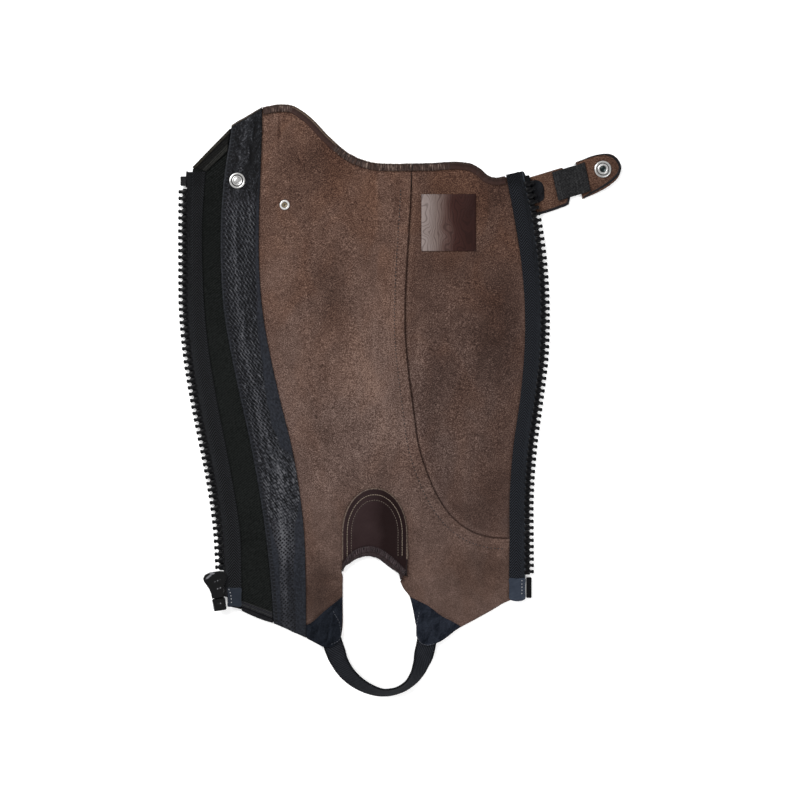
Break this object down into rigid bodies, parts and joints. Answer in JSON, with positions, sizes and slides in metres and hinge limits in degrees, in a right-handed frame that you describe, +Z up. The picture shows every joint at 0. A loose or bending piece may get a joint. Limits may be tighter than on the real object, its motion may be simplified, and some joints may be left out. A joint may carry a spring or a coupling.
{
  "type": "half chap",
  "caption": "Leather half chap opened out flat, inner suede side up, with a stretch panel, a side zip, a snap strap and an elastic foot loop.",
  "frame": {"origin": "centre of the bounding box, on the surface that the garment lies on", "axes": "+Z up out of the inner face; +Y from the foot loop to the knee edge; +X from the stretch panel to the calf panel"},
  "size_m": [0.3944, 0.5278, 0.0166],
  "materials": {
    "front_panel_suede": "suede, flesh side up",
    "calf_panel_suede": "suede, flesh side up",
    "stretch_panel_stretch_fabric": "black knitted stretch fabric",
    "stretch_top_hem_stretch_fabric": "black knitted stretch fabric",
    "stretch_foot_hem_stretch_fabric": "black knitted stretch fabric",
    "knee_binding_front_binding_leather": "gathered leather binding",
    "knee_binding_calf_binding_leather": "gathered leather binding",
    "arch_binding_binding_leather": "gathered leather binding",
    "facing_strip_facing_synthetic": "wrinkled grey-black facing",
    "inside_label_label": "satin label, bare",
    "arch_patch_dark_leather": "smooth dark brown leather",
    "loop_patch_left_patch_suede": "dark suede",
    "loop_patch_right_patch_suede": "dark suede",
    "foot_elastic_foot_elastic": "woven elastic",
    "zip_tape_left_zip_tape": "herringbone zip tape",
    "zip_film_left_film": "glossy reinforcing film",
    "zip_tape_right_zip_tape": "herringbone zip tape",
    "zip_film_right_film": "glossy reinforcing film",
    "zip_teeth_left_zip_plastic": "moulded plastic",
    "zip_teeth_right_zip_plastic": "moulded plastic",
    "top_stop_left_silver_metal": "bright plated metal",
    "top_stop_right_zip_plastic": "moulded plastic",
    "insertion_pin_zip_plastic": "moulded plastic",
    "retainer_box_zip_metal": "black lacquered die-cast metal",
    "slider_body_zip_metal": "black lacquered die-cast metal",
    "pull_tab_zip_metal": "black lacquered die-cast metal",
    "strap_base_suede": "suede, flesh side up",
    "strap_elastic_stretch_fabric": "black knitted stretch fabric",
    "strap_tab_suede": "suede, flesh side up",
    "strap_patch_patch_suede": "dark suede",
    "snap_stud_silver_metal": "bright plated metal",
    "rivet_silver_metal": "bright plated metal",
    "snap_socket_silver_metal": "bright plated metal"
  },
  "bodies": {
    "root": {"front_panel": "front_panel_suede", "calf_panel": "calf_panel_suede", "stretch_panel": "stretch_panel_stretch_fabric", "stretch_top_hem": "stretch_top_hem_stretch_fabric", "stretch_foot_hem": "stretch_foot_hem_stretch_fabric", "knee_binding_front": "knee_binding_front_binding_leather", "knee_binding_calf": "knee_binding_calf_binding_leather", "arch_binding": "arch_binding_binding_leather", "facing_strip": "facing_strip_facing_synthetic", "inside_label": "inside_label_label", "arch_patch": "arch_patch_dark_leather", "loop_patch_left": "loop_patch_left_patch_suede", "loop_patch_right": "loop_patch_right_patch_suede", "foot_elastic": "foot_elastic_foot_elastic", "zip_tape_left": "zip_tape_left_zip_tape", "zip_film_left": "zip_film_left_film", "zip_tape_right": "zip_tape_right_zip_tape", "zip_film_right": "zip_film_right_film", "zip_teeth_left": "zip_teeth_left_zip_plastic", "zip_teeth_right": "zip_teeth_right_zip_plastic", "top_stop_left": "top_stop_left_silver_metal", "top_stop_right": "top_stop_right_zip_plastic", "insertion_pin": "insertion_pin_zip_plastic", "retainer_box": "retainer_box_zip_metal", "slider_body": "slider_body_zip_metal", "strap_base": "strap_base_suede", "strap_elastic": "strap_elastic_stretch_fabric", "strap_tab": "strap_tab_suede", "strap_patch": "strap_patch_patch_suede", "snap_stud": "snap_stud_silver_metal", "rivet": "rivet_silver_metal", "snap_socket": "snap_socket_silver_metal"},
    "pull": {"pull_tab": "pull_tab_zip_metal"}
  },
  "joints": [
    {"name": "pull_swing", "type": "hinge", "parent": "root", "child": "pull", "pos_m": [-0.16333, -0.15985, 0.00235], "axis": [0.9877, 0.1564, 0], "range_deg": [0, 180]}
  ]
}
